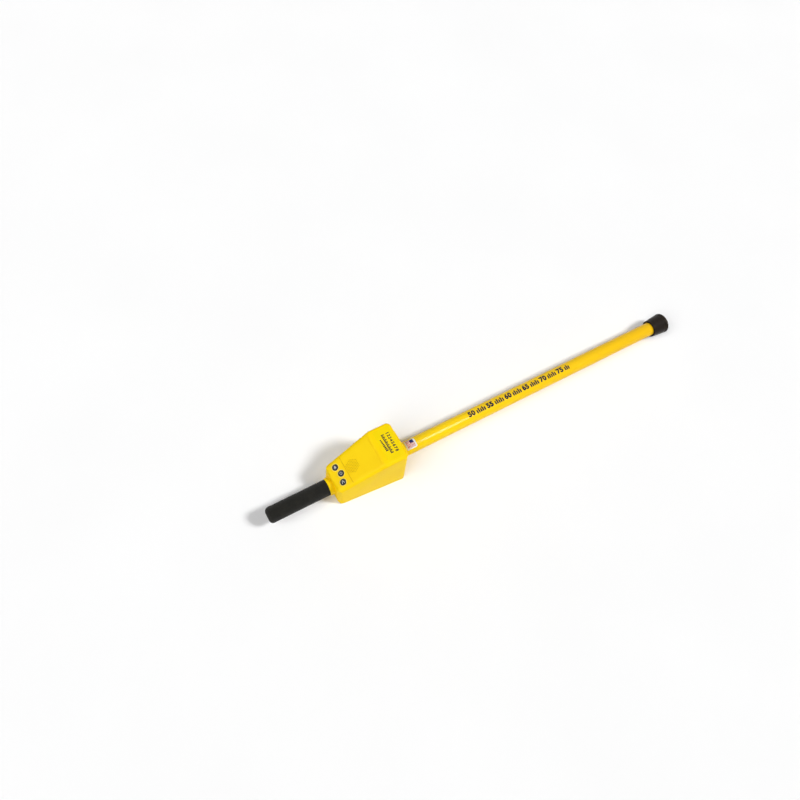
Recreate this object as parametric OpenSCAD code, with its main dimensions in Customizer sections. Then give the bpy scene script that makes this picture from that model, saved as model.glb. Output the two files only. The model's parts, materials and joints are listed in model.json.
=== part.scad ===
// Magnetic locator: a tubular sensor staff, a wedge-shaped control housing and a padded handle.
// Bench axes: x runs from the end of the grip to the tip, z is measured from the staff's centre line.

/* [Overall] */
// Length from the end of the grip to the end of the tip boot
total_length = 1080; // [1000:5:1160]
// Gap round fixed pieces that slip together
slip_gap = 0.1; // [0.05:0.01:0.15]
// Gap round pieces that move
run_gap = 0.3; // [0.25:0.05:0.35]

/* [Staff] */
// Outside diameter of the staff tube
tube_d = 33.4; // [32:0.1:35]
// Wall of the staff tube
tube_wall = 2; // [1.6:0.1:2.4]
// Length of the socket that holds the tube inside the housing
socket_l = 42; // [36:1:46]
// Wall of the socket sleeve
socket_wall = 4; // [3:0.5:5]
// Reach of the socket's flange beyond the tube
socket_flange = 8.3; // [7:0.1:9]

/* [Sensors] */
// Distance between the two coils
coil_spacing = 508; // [480:1:520]
// Length of each coil's bobbin
coil_l = 40; // [30:1:50]
// Width of the long circuit board inside the tube
strip_w = 18; // [16:0.5:19]
// Thickness of every circuit board
pcb_t = 1.6; // [1.2:0.1:2]

/* [Tip boot] */
// Length of the boot
boot_l = 43; // [38:1:50]
// Diameter of the boot's foot
boot_end_d = 50; // [46:1:56]
// Rubber thickness at the boot's mouth
boot_lip = 4.2; // [3.4:0.1:5]
// Rubber thickness under the tube's end
boot_floor = 7; // [5:0.5:9]

/* [Handle] */
// Length of the grip
grip_l = 137.4; // [120:0.1:150]
// Diameter of the grip
grip_d = 36; // [34:0.5:38]
// Rounding of the grip's closed end
grip_end_r = 9; // [6:0.5:11]
// Diameter of the handle's inner tube
core_d = 25.4; // [24:0.1:26]
// Wall of the handle's inner tube
core_wall = 2; // [1.6:0.1:2.4]
// Length of the collar between grip and housing
collar_l = 11; // [9:0.1:14]
// Diameter of the collar
collar_d = 40; // [38.5:0.5:42]

/* [Housing] */
// Length of the housing
housing_l = 157; // [153:1:162]
// Length of the sloping panel, measured along the staff
slope_run = 103; // [99:1:107]
// Height of the panel's low edge above the staff's centre line
front_top = 29.4; // [28:0.2:32]
// Height of the flat top above the staff's centre line
rear_top = 80.5; // [78:0.5:86]
// Depth of the underside below the staff's centre line
base_drop = 33.2; // [32:0.2:36]
// Half width at the handle end
front_half = 35.3; // [34:0.1:37]
// Half width at the tube end
rear_half = 45.1; // [43.5:0.1:48]
// How much each side leans out towards the base
base_flare = 3; // [2:0.1:3.6]
// Rounding of the outer edges
edge_r = 7; // [6:0.5:8]
// Rounding of the upright corners, seen from above
corner_r = 10.5; // [9.5:0.5:12]
// Wall of the housing
wall = 3; // [2.6:0.1:3.2]
// Thickness of the bottom cover
cover_t = 3.2; // [3:0.1:3.6]
// Thickness of the bottom gasket
gasket_t = 1; // [0.8:0.1:1.2]

/* [Panel] */
// Diameter of each push button
button_d = 13.6; // [12:0.1:14.5]
// Height of each button above the panel
button_rise = 1.2; // [0.8:0.1:2]
// Travel of each button
button_travel = 0.8; // [0.4:0.1:1]
// Distance of the outer buttons from the middle
button_y = 18.2; // [17.6:0.1:19]
// Distance of the outer buttons up the slope
side_button_u = 19.1; // [18.8:0.1:20]
// Distance of the middle button up the slope
mid_button_u = 24.2; // [23:0.1:24.5]
// Distance of the speaker up the slope
speaker_u = 53; // [52.5:0.5:57]
// Diameter of the speaker
speaker_d = 38; // [36:0.5:39]
// Diameter of each speaker hole
hole_d = 1.8; // [1.4:0.1:2]
// Distance between speaker holes
hole_pitch = 3.6; // [3.2:0.1:3.7]

/* [Battery bay] */
// Length of a battery with its studs
cell_l = 48.5; // [47:0.5:50]
// Width of a battery
cell_w = 26.5; // [25:0.5:27]
// Height of a battery
cell_h = 17.5; // [16:0.5:18.5]
// Thickness of the battery door
door_t = 2.6; // [2:0.1:3]
// Radius of the hinge knuckles
knuckle_r = 2.6; // [2.4:0.1:3]
// Diameter of the hinge pin
pin_d = 2; // [1.6:0.1:2.4]

/* [Hidden] */

// Facets of round shapes, of round shapes inside a hull, and of six-sided nuts and sockets
round_fn = 64;
hull_fn = 32;
hex_fn = 6;
// Overrun of every cut, and depth of every weld between joined solids
over = 1;
weld = 0.6;
sides = [-1, 1];

yellow = [0.97, 0.78, 0.04];
lemon = [0.99, 0.86, 0.08];
black = [0.08, 0.08, 0.08];
charcoal = [0.16, 0.16, 0.15];
board_green = [0.07, 0.35, 0.18];
copper = [0.72, 0.42, 0.2];
silver = [0.72, 0.73, 0.75];
ivory = [0.85, 0.83, 0.76];

// Housing stations and the panel's slope
front_x = grip_l + collar_l;
bend_x = front_x + slope_run;
rear_x = front_x + housing_l;
slope_a = atan2(rear_top - front_top, slope_run);
slope_l = slope_run / cos(slope_a);
base_z = -base_drop;
split_z = base_z + cover_t + gasket_t;

// Centres of the rounded corners, set in from the flat faces by the rounding
corner_out = corner_r - edge_r;
front_cx = front_x + corner_r;
front_cy = front_half - corner_r;
front_cz = front_top + edge_r * tan(slope_a) - edge_r / cos(slope_a);
bend_cx = bend_x + corner_out + edge_r * (1 / cos(slope_a) - 1) / tan(slope_a);
rear_cx = rear_x - corner_r;
rear_cy = rear_half - corner_r;
rear_cz = rear_top - edge_r;
base_pad = 0.5;

// Cover screws and their bosses
screw_d = 3;
screw_l = 12;
screw_head_d = 5.6;
screw_head_h = 1.6;
screw_hex_d = 2.9;
screw_hex_depth = 0.9;
head_sink = 0.2;
boss_d = 8;
boss_h = 16;
boss_bite = 0.8;
boss_xs = [front_cx, bend_x, rear_cx];
gasket_lap = 1.5;
gasket_set = 0.4;
foot_chamfer = 1;

// Socket and tube
seal_t = 1;
socket_x1 = rear_x - wall - 2 * slip_gap - seal_t;
socket_x0 = socket_x1 - socket_l;
socket_flange_t = 4;
socket_stop_t = 2.5;
tube_ri = tube_d / 2 - tube_wall;
tube_x0 = socket_x0 + socket_stop_t + slip_gap;
socket_d = tube_d + 2 * slip_gap + 2 * socket_wall;
flange_d = tube_d + 2 * socket_flange;

// Tip: plug, seal and boot
plug_head_t = 2.5;
plug_stem_l = 12;
seal_r = 1.2;
seal_room = 0.2;
boot_x0 = total_length - boot_l;
floor_x = total_length - boot_floor;
tube_x1 = floor_x - plug_head_t - 2 * slip_gap;
plug_x0 = tube_x1 - plug_stem_l;
seal_x = tube_x1 - plug_stem_l / 2;
plug_r = tube_ri - slip_gap;
seal_ring_r = tube_ri - slip_gap - seal_r;
boot_bore_r = tube_d / 2 + slip_gap;
boot_mouth_r = boot_bore_r + boot_lip;
boot_collar_l = 3;
boot_rim_r = 2.5;
boot_groove_w = 1.6;
boot_groove_depth = 0.9;
boot_groove_inset = 9;

// Sensor strip, coils and spacers
plug_clear = 4;
strip_x1 = plug_x0 - plug_clear;
coil_inset = 12;
lower_coil_x = strip_x1 - coil_inset - coil_l;
upper_coil_x = lower_coil_x - coil_spacing;
lead_gap = coil_inset / 2;
lead_notch_w = 2;
lead_notch_in = 1.5;
lead_xs = [upper_coil_x - lead_gap, upper_coil_x + coil_l + lead_gap,
    lower_coil_x - lead_gap, lower_coil_x + coil_l + lead_gap];
bobbin_core_t = 1.6;
bobbin_core_r = strip_w / 2 + bobbin_core_t;
bobbin_flange_t = 2;
winding_t = 2.2;
spacer_t = 6;
spacer_hole_d = 4;
spacer_hole_z = 8;
coil_gap = coil_spacing - coil_l;
spacer_xs = [(tube_x0 + upper_coil_x - spacer_t) / 2, upper_coil_x + coil_l + coil_gap / 3,
    upper_coil_x + coil_l + coil_gap * 2 / 3];

// Handle
core_reach = 24;
core_x1 = front_x + core_reach;
grip_end_t = 6;
core_plug_head_t = 2;
core_plug_l = 9;
core_x0 = grip_end_t + core_plug_head_t + 2 * slip_gap;
core_bore_d = core_d - 2 * core_wall;
core_hole_d = core_d + 2 * slip_gap;
nut_d = 40;
nut_t = 7;
collar_chamfer = 1.2;

// Main board, its posts and the connector that takes the strip
board_half = 28;
board_clear = 4;
core_clear = 10;
board_drop = 6;
board_x1 = socket_x0 - board_clear;
board_x0 = core_x1 + core_clear;
board_z1 = -board_drop;
board_z0 = board_z1 - pcb_t;
post_d = 7;
post_inset = 7;
post_y = 22;
post_hole_depth = 10;
post_xs = [board_x0 + post_inset, board_x1 - post_inset];
small_screw_d = 2.2;
small_head_d = 4.2;
small_head_h = 1.5;
small_screw_l = 7;
connector_l = 12;
connector_wall = 3;
connector_half = strip_w / 2 + connector_wall;
connector_h = 11;
connector_x1 = board_x1 - slip_gap;
connector_x0 = connector_x1 - connector_l;
strip_x0 = connector_x0 + connector_l / 2;

// Buttons and keypad, measured from the panel's face
rim_w = 1.4;
rim_h = 0.8;
button_chamfer = 0.5;
button_flange_w = 1;
button_flange_t = 1.2;
button_hole_d = button_d + 2 * run_gap;
button_flange_w1 = -wall - run_gap;
button_flange_w0 = button_flange_w1 - button_flange_t;
switch_w1 = button_flange_w0 - button_travel - run_gap;
switch_body_h = 1.6;
switch_stem_h = 0.9;
switch_side = 6;
switch_stem_d = 3.4;
keypad_w1 = switch_w1 - switch_body_h - switch_stem_h - slip_gap;
keypad_w0 = keypad_w1 - pcb_t;
keypad_u0 = 9.5;
keypad_clear = 1.2;
keypad_side = 6.1;
keypad_u1 = speaker_u - speaker_d / 2 - keypad_clear;
keypad_half = front_half - keypad_side;
keypad_post_d = 5;
low_post_u = 12.6;
high_post_u = 29.2;
high_post_y = 14.5;
keypad_posts = [[low_post_u, 0], [high_post_u, high_post_y], [high_post_u, -high_post_y]];
keypad_screw_l = 5;
button_places = [[side_button_u, button_y], [mid_button_u, 0], [side_button_u, -button_y]];

// Score lines across the panel
score_u = 36.6;
score_w = 1;
score_depth = 0.8;
upper_score_w = 0.8;
upper_score_depth = 0.5;
upper_score_inset = 4.5;
score_side = 4;
upper_score_side = 10;
score_half = front_half - score_side;
upper_score_half = rear_half - upper_score_side;

// Speaker, measured from the panel's face
hole_rings = 4;
speaker_gasket_t = 1;
speaker_gasket_w = 2.5;
speaker_w1 = -wall - 2 * slip_gap - speaker_gasket_t;
basket_flange_t = 1.6;
basket_depth = 7;
basket_t = 1.2;
basket_floor_d = 24;
cone_t = 0.6;
cone_inset = 0.8;
cone_cap_r = 5;
cone_depth = 4.2;
magnet_d = 22;
magnet_t = 6;

// Battery bay, measured from the tube-end face
bay_wall = 2;
bay_room = 0.8;
cell_set = 0.6;
stud_h = 2;
stud_d = 5.6;
stud_y = 6.35;
contact_t = 1.6;
contact_ring_d = 9;
bay_rise = 6;
bay_z0 = flange_d / 2 + bay_rise;
cell_z0 = bay_z0 + bay_wall + slip_gap;
bay_in_h = cell_h + 2 * bay_room;
bay_in_half = cell_w + 2 * bay_room;
cell_x1 = rear_x - cell_set;
cell_x0 = cell_x1 - cell_l;
bay_x0 = cell_x0 - contact_t - 2 * slip_gap - bay_wall;
bay_x1 = rear_x - wall - slip_gap;
bay_z1 = bay_z0 + 2 * bay_wall + bay_in_h;

// Battery door, its hinge and its quarter-turn screw
door_gap = 0.2;
door_lap = 3;
door_corner_r = 3;
hinge_drop = 3.2;
hinge_x = rear_x + door_gap + knuckle_r;
hinge_rise = 2;
hinge_z = bay_z1 + knuckle_r + hinge_rise;
door_half = bay_in_half + door_lap;
door_x0 = rear_x + door_gap;
door_x1 = door_x0 + door_t;
door_z1 = hinge_z - hinge_drop;
latch_inset = 3.5;
latch_z = bay_z0 - latch_inset;
latch_d = 3;
latch_slack = 0.8;
latch_fit = 0.1;
latch_knob_d = 9;
latch_knob_t = 4;
latch_slot_w = 1.4;
latch_slot_depth = 1.2;
latch_lap = 5.5;
door_z0 = latch_z - latch_lap;
lug_y0 = 20;
lug_y1 = 26;
pin_fit = 0.05;
pin_head_t = 0.8;
pin_head_lap = 0.7;
pin_head_d = pin_d + 2 * pin_head_lap;

// Label on the flat top
label_t = 0.4;
label_inset_x = 6.5;
label_x0 = bend_cx - corner_out + label_inset_x;
label_end_inset = 6.5;
label_side = 8.5;
label_x1 = rear_x - label_end_inset;
label_half = rear_half - label_side;
label_r = 3;

// Half width of the base at a station along the staff
function base_half_at(x) = base_flare + front_half + (rear_half - front_half) * (x - front_x) / housing_l;
// Distance of a cover screw from the middle at a station along the staff
function boss_y(x) = base_half_at(x) - wall - boss_d / 2 + boss_bite;

// Moves a bench piece to the part's frame: origin at the middle of the underside's plane
module place() {
    translate([-total_length / 2, 0, base_drop]) children();
}

module along_x() {
    rotate([0, 90, 0]) children();
}

module rod(x0, x1, d) {
    translate([x0, 0, 0]) along_x() cylinder(d = d, h = x1 - x0, $fn = round_fn);
}

module pipe(x0, x1, d_out, d_in) {
    difference() {
        rod(x0, x1, d_out);
        rod(x0 - over, x1 + over, d_in);
    }
}

// A block given by its two opposite corners
module block(low, high) {
    translate(low) cube(high - low);
}

module strip_slot(x0, x1) {
    block([x0 - over, -strip_w / 2 - slip_gap, -pcb_t / 2 - slip_gap],
        [x1 + over, strip_w / 2 + slip_gap, pcb_t / 2 + slip_gap]);
}

// A corner of the housing: round from above, and rounded by r over its edge
module round_corner(r) {
    rotate_extrude($fn = hull_fn) intersection() {
        translate([corner_out, 0]) circle(r = r, $fn = hull_fn);
        translate([0, -r]) square([corner_out + r, 2 * r]);
    }
}

// The housing's outer form, or that form set in by a wall
module wedge(inset) {
    hull() {
        for (side = sides) {
            translate([front_cx, side * front_cy, front_cz]) round_corner(edge_r - inset);
            translate([bend_cx, side * rear_cy, rear_cz]) round_corner(edge_r - inset);
            translate([rear_cx, side * rear_cy, rear_cz]) round_corner(edge_r - inset);
        }
        base_pads(edge_r - inset, base_z, base_pad);
    }
}

// Upright discs at the four corners of the base, for an edge rounded by r
module base_pads(r, z, h) {
    for (corner = [[front_cx, front_cy], [rear_cx, rear_cy]], side = sides)
        translate([corner[0], side * (corner[1] + base_flare), z])
            cylinder(r = corner_out + r, h = h, $fn = hull_fn);
}

module base_slab(r, z, h) {
    hull() base_pads(r, z, h);
}

// Children stand at each cover screw
module at_cover_screws() {
    for (x = boss_xs, side = sides) translate([x, side * boss_y(x), 0]) children();
}

// Children stand on the sloping panel: x up the slope, z out of the face
module on_panel() {
    translate([front_x, 0, front_top]) rotate([0, -slope_a, 0]) children();
}

module at_buttons() {
    for (spot = button_places) translate([spot[0], spot[1], 0]) children();
}

module at_keypad_posts() {
    for (spot = keypad_posts) translate([spot[0], spot[1], 0]) children();
}

module disc(d, w0, w1) {
    translate([0, 0, w0]) cylinder(d = d, h = w1 - w0, $fn = round_fn);
}

module staff_tube() {
    place() color(yellow) pipe(tube_x0, tube_x1, tube_d, 2 * tube_ri);
}

module tip_boot() {
    foot_r = boot_end_d / 2;
    groove_y = boot_l - boot_groove_inset;
    groove_r = boot_mouth_r + (foot_r - boot_mouth_r) * (groove_y - boot_collar_l)
        / (boot_l - boot_rim_r - boot_collar_l) - boot_groove_depth;
    place() color(black) translate([boot_x0, 0, 0]) along_x() rotate_extrude($fn = round_fn)
        difference() {
            union() {
                polygon([[0, 0], [boot_mouth_r, 0], [boot_mouth_r, boot_collar_l],
                    [foot_r, boot_l - boot_rim_r], [foot_r - boot_rim_r, boot_l], [0, boot_l]]);
                intersection() {
                    translate([foot_r - boot_rim_r, boot_l - boot_rim_r]) circle(r = boot_rim_r, $fn = round_fn);
                    square([foot_r, boot_l]);
                }
            }
            translate([-over, -over]) square([boot_bore_r + over, boot_l - boot_floor + over]);
            translate([groove_r, groove_y]) square([boot_end_d, boot_groove_w]);
        }
}

module tip_plug() {
    groove_w = 2 * seal_r + 2 * seal_room;
    place() color(ivory) difference() {
        union() {
            rod(plug_x0, tube_x1 + slip_gap, 2 * plug_r);
            rod(tube_x1 + slip_gap, tube_x1 + slip_gap + plug_head_t, tube_d);
        }
        pipe(seal_x - groove_w / 2, seal_x + groove_w / 2, tube_d, 2 * (seal_ring_r - seal_r - seal_room));
    }
}

module tip_seal() {
    place() color(black) translate([seal_x, 0, 0]) along_x() rotate_extrude($fn = round_fn)
        translate([seal_ring_r, 0]) circle(r = seal_r, $fn = hull_fn);
}

// The long board, with edge notches where the leads of each winding come through
module sensor_board() {
    edge = strip_w / 2;
    place() color(board_green) difference() {
        block([strip_x0, -edge, -pcb_t / 2], [strip_x1, edge, pcb_t / 2]);
        for (x = lead_xs, side = sides) translate([x, side * edge, 0])
            block([-lead_notch_w / 2, -lead_notch_in, -pcb_t / 2 - over],
                [lead_notch_w / 2, lead_notch_in, pcb_t / 2 + over]);
    }
}

module board_spacers() {
    place() color(ivory) for (x = spacer_xs) difference() {
        rod(x, x + spacer_t, 2 * plug_r);
        strip_slot(x, x + spacer_t);
        for (side = sides) translate([0, 0, side * spacer_hole_z])
            rod(x - over, x + spacer_t + over, spacer_hole_d);
    }
}

module bobbin(x) {
    difference() {
        union() {
            rod(x, x + coil_l, 2 * bobbin_core_r);
            rod(x, x + bobbin_flange_t, 2 * plug_r);
            rod(x + coil_l - bobbin_flange_t, x + coil_l, 2 * plug_r);
        }
        strip_slot(x, x + coil_l);
    }
}

module winding(x) {
    pipe(x + bobbin_flange_t + slip_gap, x + coil_l - bobbin_flange_t - slip_gap,
        2 * (bobbin_core_r + slip_gap + winding_t), 2 * (bobbin_core_r + slip_gap));
}

module lower_bobbin() {
    place() color(ivory) bobbin(lower_coil_x);
}

module lower_winding() {
    place() color(copper) winding(lower_coil_x);
}

module upper_bobbin() {
    place() color(ivory) bobbin(upper_coil_x);
}

module upper_winding() {
    place() color(copper) winding(upper_coil_x);
}

// Rows of holes on a six-sided grid with corners to the left and right of the panel
module grille_holes() {
    for (row = [-hole_rings:hole_rings]) {
        half_count = (2 * hole_rings - abs(row)) / 2;
        for (k = [-half_count:half_count])
            translate([speaker_u + row * hole_pitch * sin(60), k * hole_pitch, 0])
                disc(hole_d, -wall - over, over);
    }
}

module score_lines() {
    block([score_u, -score_half, -score_depth], [score_u + score_w, score_half, over]);
    block([slope_l - upper_score_inset - upper_score_w, -upper_score_half, -upper_score_depth],
        [slope_l - upper_score_inset, upper_score_half, over]);
}

module hinge_bore(d, y) {
    translate([hinge_x, y, hinge_z]) rotate([90, 0, 0]) cylinder(d = d, h = 2 * y, $fn = round_fn);
}

module door_lugs() {
    for (side = sides) translate([0, side * (lug_y0 + lug_y1) / 2, 0]) {
        hinge_bore(2 * knuckle_r, (lug_y1 - lug_y0) / 2);
        block([rear_x - wall / 2, -(lug_y1 - lug_y0) / 2, hinge_z - knuckle_r],
            [hinge_x, (lug_y1 - lug_y0) / 2, hinge_z + knuckle_r]);
    }
}

module housing_shell() {
    place() color(yellow) difference() {
        union() {
            difference() {
                wedge(0);
                wedge(wall);
                block([front_x - over, -rear_half - base_flare - over, base_z - over],
                    [rear_x + over, rear_half + base_flare + over, split_z]);
            }
            at_cover_screws() disc(boss_d, split_z, split_z + boss_h);
            on_panel() at_buttons() disc(button_hole_d + 2 * rim_w, -weld, rim_h);
            on_panel() at_keypad_posts() disc(keypad_post_d, keypad_w1 + slip_gap, -wall + weld);
            door_lugs();
        }
        at_cover_screws() disc(screw_d + 2 * slip_gap, split_z - over, base_z + screw_l + 2 * over);
        on_panel() at_buttons() disc(button_hole_d, -wall - over, rim_h + over);
        on_panel() at_keypad_posts()
            disc(small_screw_d + 2 * slip_gap, keypad_w1 - over, keypad_w0 + keypad_screw_l + slip_gap);
        on_panel() score_lines();
        on_panel() grille_holes();
        rod(front_x - over, front_x + wall + over, core_hole_d);
        rod(rear_x - wall - over, rear_x + over, tube_d + 2 * slip_gap);
        block([rear_x - wall - over, -bay_in_half, bay_z0 + bay_wall],
            [rear_x + over, bay_in_half, bay_z0 + bay_wall + bay_in_h]);
        translate([0, 0, latch_z]) rod(rear_x - wall - over, rear_x + over, latch_d + 2 * latch_slack);
        hinge_bore(pin_d + 2 * pin_fit, lug_y1 + over);
    }
}

module bottom_cover() {
    sink = screw_head_h + head_sink;
    place() color(yellow) difference() {
        union() {
            hull() {
                base_pads(edge_r - foot_chamfer, base_z, cover_t / 2);
                base_pads(edge_r, base_z + foot_chamfer, cover_t - foot_chamfer - slip_gap);
            }
            for (x = post_xs, side = sides) translate([x, side * post_y, 0])
                disc(post_d, base_z + cover_t - weld, board_z0 - slip_gap);
        }
        at_cover_screws() disc(screw_d + 2 * slip_gap, base_z - over, base_z + cover_t + over);
        at_cover_screws() disc(screw_head_d + 2 * slip_gap, base_z - over, base_z + sink);
        for (x = post_xs, side = sides) translate([x, side * post_y, 0])
            disc(small_screw_d + 2 * slip_gap, board_z0 - post_hole_depth, board_z0 + over);
    }
}

module cover_gasket() {
    h = gasket_t - slip_gap;
    place() color(charcoal) difference() {
        union() {
            difference() {
                base_slab(edge_r - gasket_set, base_z + cover_t, h);
                base_slab(edge_r - wall - gasket_lap, base_z + cover_t - over, h + 2 * over);
            }
            at_cover_screws() disc(boss_d, base_z + cover_t, base_z + cover_t + h);
        }
        at_cover_screws() disc(screw_d + 2 * slip_gap, base_z + cover_t - over, split_z + over);
    }
}

module cover_screws() {
    z0 = base_z + head_sink / 2;
    place() color(silver) at_cover_screws() difference() {
        union() {
            disc(screw_head_d, z0, z0 + screw_head_h);
            disc(screw_d, z0 + screw_head_h - weld, z0 + screw_l);
        }
        translate([0, 0, z0 - over]) cylinder(d = screw_hex_d, h = screw_hex_depth + over, $fn = hex_fn);
    }
}

module tube_socket() {
    place() color(charcoal) difference() {
        union() {
            rod(socket_x0, socket_x1, socket_d);
            rod(socket_x1 - socket_flange_t, socket_x1, flange_d);
        }
        rod(socket_x0 - over, socket_x1 + over, 2 * tube_ri);
        rod(socket_x0 + socket_stop_t, socket_x1 + over, tube_d + 2 * slip_gap);
    }
}

module tube_seal() {
    place() color(black)
        pipe(socket_x1 + slip_gap, socket_x1 + slip_gap + seal_t, flange_d, tube_d + 2 * slip_gap);
}

module handle_collar() {
    x0 = grip_l + slip_gap;
    length = collar_l - 2 * slip_gap;
    r = collar_d / 2;
    place() color(yellow) translate([x0, 0, 0]) along_x() rotate_extrude($fn = round_fn)
        polygon([[core_hole_d / 2, 0], [r - collar_chamfer, 0], [r, collar_chamfer],
            [r, length], [core_hole_d / 2, length]]);
}

module handle_core() {
    place() color(silver) pipe(core_x0, core_x1, core_d, core_bore_d);
}

module handle_nut() {
    x0 = front_x + wall + slip_gap;
    place() color(silver) difference() {
        translate([x0, 0, 0]) along_x() cylinder(d = nut_d, h = nut_t, $fn = hex_fn);
        rod(x0 - over, x0 + nut_t + over, core_hole_d);
    }
}

module core_plug() {
    x0 = grip_end_t + slip_gap;
    place() color(black) {
        rod(x0, x0 + core_plug_head_t, core_d);
        rod(x0 + core_plug_head_t - weld, x0 + core_plug_l, core_bore_d - 2 * slip_gap);
    }
}

module hand_grip() {
    r = grip_d / 2;
    place() color(charcoal) along_x() rotate_extrude($fn = round_fn) difference() {
        union() {
            polygon([[0, 0], [r - grip_end_r, 0], [r, grip_end_r], [r, grip_l], [0, grip_l]]);
            intersection() {
                translate([r - grip_end_r, grip_end_r]) circle(r = grip_end_r, $fn = round_fn);
                square([r, grip_l]);
            }
        }
        translate([-over, grip_end_t]) square([core_hole_d / 2 + over, grip_l]);
    }
}

module push_button(spot) {
    place() color(black) on_panel() translate([spot[0], spot[1], 0]) {
        disc(button_d + 2 * button_flange_w, button_flange_w0, button_flange_w1);
        disc(button_d, button_flange_w1 - weld, button_rise - button_chamfer);
        translate([0, 0, button_rise - button_chamfer])
            cylinder(d1 = button_d, d2 = button_d - 2 * button_chamfer, h = button_chamfer, $fn = round_fn);
    }
}

module button_volume() {
    push_button(button_places[0]);
}

module button_power() {
    push_button(button_places[1]);
}

module button_gain() {
    push_button(button_places[2]);
}

module keypad_board() {
    place() color(board_green) on_panel() difference() {
        block([keypad_u0, -keypad_half, keypad_w0], [keypad_u1, keypad_half, keypad_w1]);
        at_keypad_posts() disc(small_screw_d + 2 * slip_gap, keypad_w0 - over, keypad_w1 + over);
    }
}

module tact_switches() {
    base_w = keypad_w1 + slip_gap;
    half = switch_side / 2;
    place() color(silver) on_panel() at_buttons() {
        block([-half, -half, base_w], [half, half, base_w + switch_body_h]);
        disc(switch_stem_d, base_w + switch_body_h - weld, switch_w1);
    }
}

module keypad_screws() {
    head_w = keypad_w0 - slip_gap;
    place() color(silver) on_panel() at_keypad_posts() difference() {
        union() {
            disc(small_head_d, head_w - small_head_h, head_w);
            disc(small_screw_d, head_w - weld, keypad_w0 + keypad_screw_l);
        }
        translate([0, 0, head_w - small_head_h - over])
            cylinder(d = small_screw_d, h = small_head_h / 2 + over, $fn = hex_fn);
    }
}

// Children stand behind the speaker holes
module at_speaker() {
    on_panel() translate([speaker_u, 0, 0]) children();
}

module speaker_gasket() {
    w1 = -wall - slip_gap;
    place() color(black) at_speaker() difference() {
        disc(speaker_d, w1 - speaker_gasket_t, w1);
        disc(speaker_d - 2 * speaker_gasket_w, w1 - speaker_gasket_t - over, w1 + over);
    }
}

module speaker_frame() {
    r = speaker_d / 2;
    floor_r = basket_floor_d / 2;
    place() color(silver) at_speaker() translate([0, 0, speaker_w1]) rotate_extrude($fn = round_fn)
        polygon([[r, 0], [r, -basket_flange_t], [r - basket_t, -basket_flange_t],
            [floor_r, -basket_depth], [0, -basket_depth], [0, -basket_depth + basket_t],
            [floor_r - basket_t, -basket_depth + basket_t], [r - speaker_gasket_w, 0]]);
}

module speaker_cone() {
    r = speaker_d / 2 - speaker_gasket_w - cone_inset;
    place() color(charcoal) at_speaker() translate([0, 0, speaker_w1]) rotate_extrude($fn = round_fn)
        polygon([[r, 0], [r, -cone_t], [cone_cap_r, -cone_depth], [0, -cone_depth],
            [0, -cone_depth + cone_t], [cone_cap_r, -cone_depth + cone_t], [r - cone_t, 0]]);
}

module speaker_magnet() {
    w1 = speaker_w1 - basket_depth - slip_gap;
    place() color(silver) at_speaker() disc(magnet_d, w1 - magnet_t, w1);
}

module main_board() {
    place() color(board_green) difference() {
        block([board_x0, -board_half, board_z0], [board_x1, board_half, board_z1]);
        for (x = post_xs, side = sides) translate([x, side * post_y, 0])
            disc(small_screw_d + 2 * slip_gap, board_z0 - over, board_z1 + over);
    }
}

// Each chip has a share of the free board, a place across it, a length, a width and a height
module board_parts() {
    chips = [[0.3, 0, 14, 14, 2], [0.75, -12, 12, 8, 1.8], [0.75, 12, 8, 8, 1.6]];
    can_ys = [-13, 13];
    can_share = 0.38;
    can_d = 6.3;
    can_h = 9;
    z = board_z1 + slip_gap;
    free_l = connector_x0 - board_x0;
    place() color(black) {
        for (chip = chips)
            translate([board_x0 + chip[0] * free_l - chip[2] / 2, chip[1] - chip[3] / 2, z])
                cube([chip[2], chip[3], chip[4]]);
        for (y = can_ys) translate([board_x0 + can_share * free_l, y, 0]) disc(can_d, z, z + can_h);
    }
}

module edge_connector() {
    place() color(black) difference() {
        block([connector_x0, -connector_half, board_z1 + slip_gap],
            [connector_x1, connector_half, board_z1 + slip_gap + connector_h]);
        block([strip_x0 - slip_gap, -strip_w / 2 - slip_gap, -pcb_t / 2 - slip_gap],
            [connector_x1 + over, strip_w / 2 + slip_gap, pcb_t / 2 + slip_gap]);
    }
}

module board_screws() {
    head_z = board_z1 + slip_gap;
    place() color(silver) for (x = post_xs, side = sides) translate([x, side * post_y, 0]) difference() {
        union() {
            disc(small_head_d, head_z, head_z + small_head_h);
            disc(small_screw_d, board_z1 - small_screw_l, head_z + weld);
        }
        translate([0, 0, head_z + small_head_h / 2])
            cylinder(d = small_screw_d, h = small_head_h, $fn = hex_fn);
    }
}

module battery_box() {
    half = bay_in_half + bay_wall;
    place() color(charcoal) difference() {
        block([bay_x0, -half, bay_z0], [bay_x1, half, bay_z1]);
        block([bay_x0 + bay_wall, -bay_in_half, bay_z0 + bay_wall],
            [bay_x1 + over, bay_in_half, bay_z1 - bay_wall]);
    }
}

module battery(side) {
    mid_y = side * (cell_w + bay_room) / 2;
    mid_z = cell_z0 + cell_h / 2;
    place() color(side > 0 ? silver : charcoal) {
        block([cell_x0 + stud_h, mid_y - cell_w / 2, cell_z0], [cell_x1, mid_y + cell_w / 2, cell_z0 + cell_h]);
        for (stud = sides) translate([0, mid_y + stud * stud_y, mid_z])
            rod(cell_x0, cell_x0 + stud_h + weld, stud_d);
    }
}

module battery_left() {
    battery(-1);
}

module battery_right() {
    battery(1);
}

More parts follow.
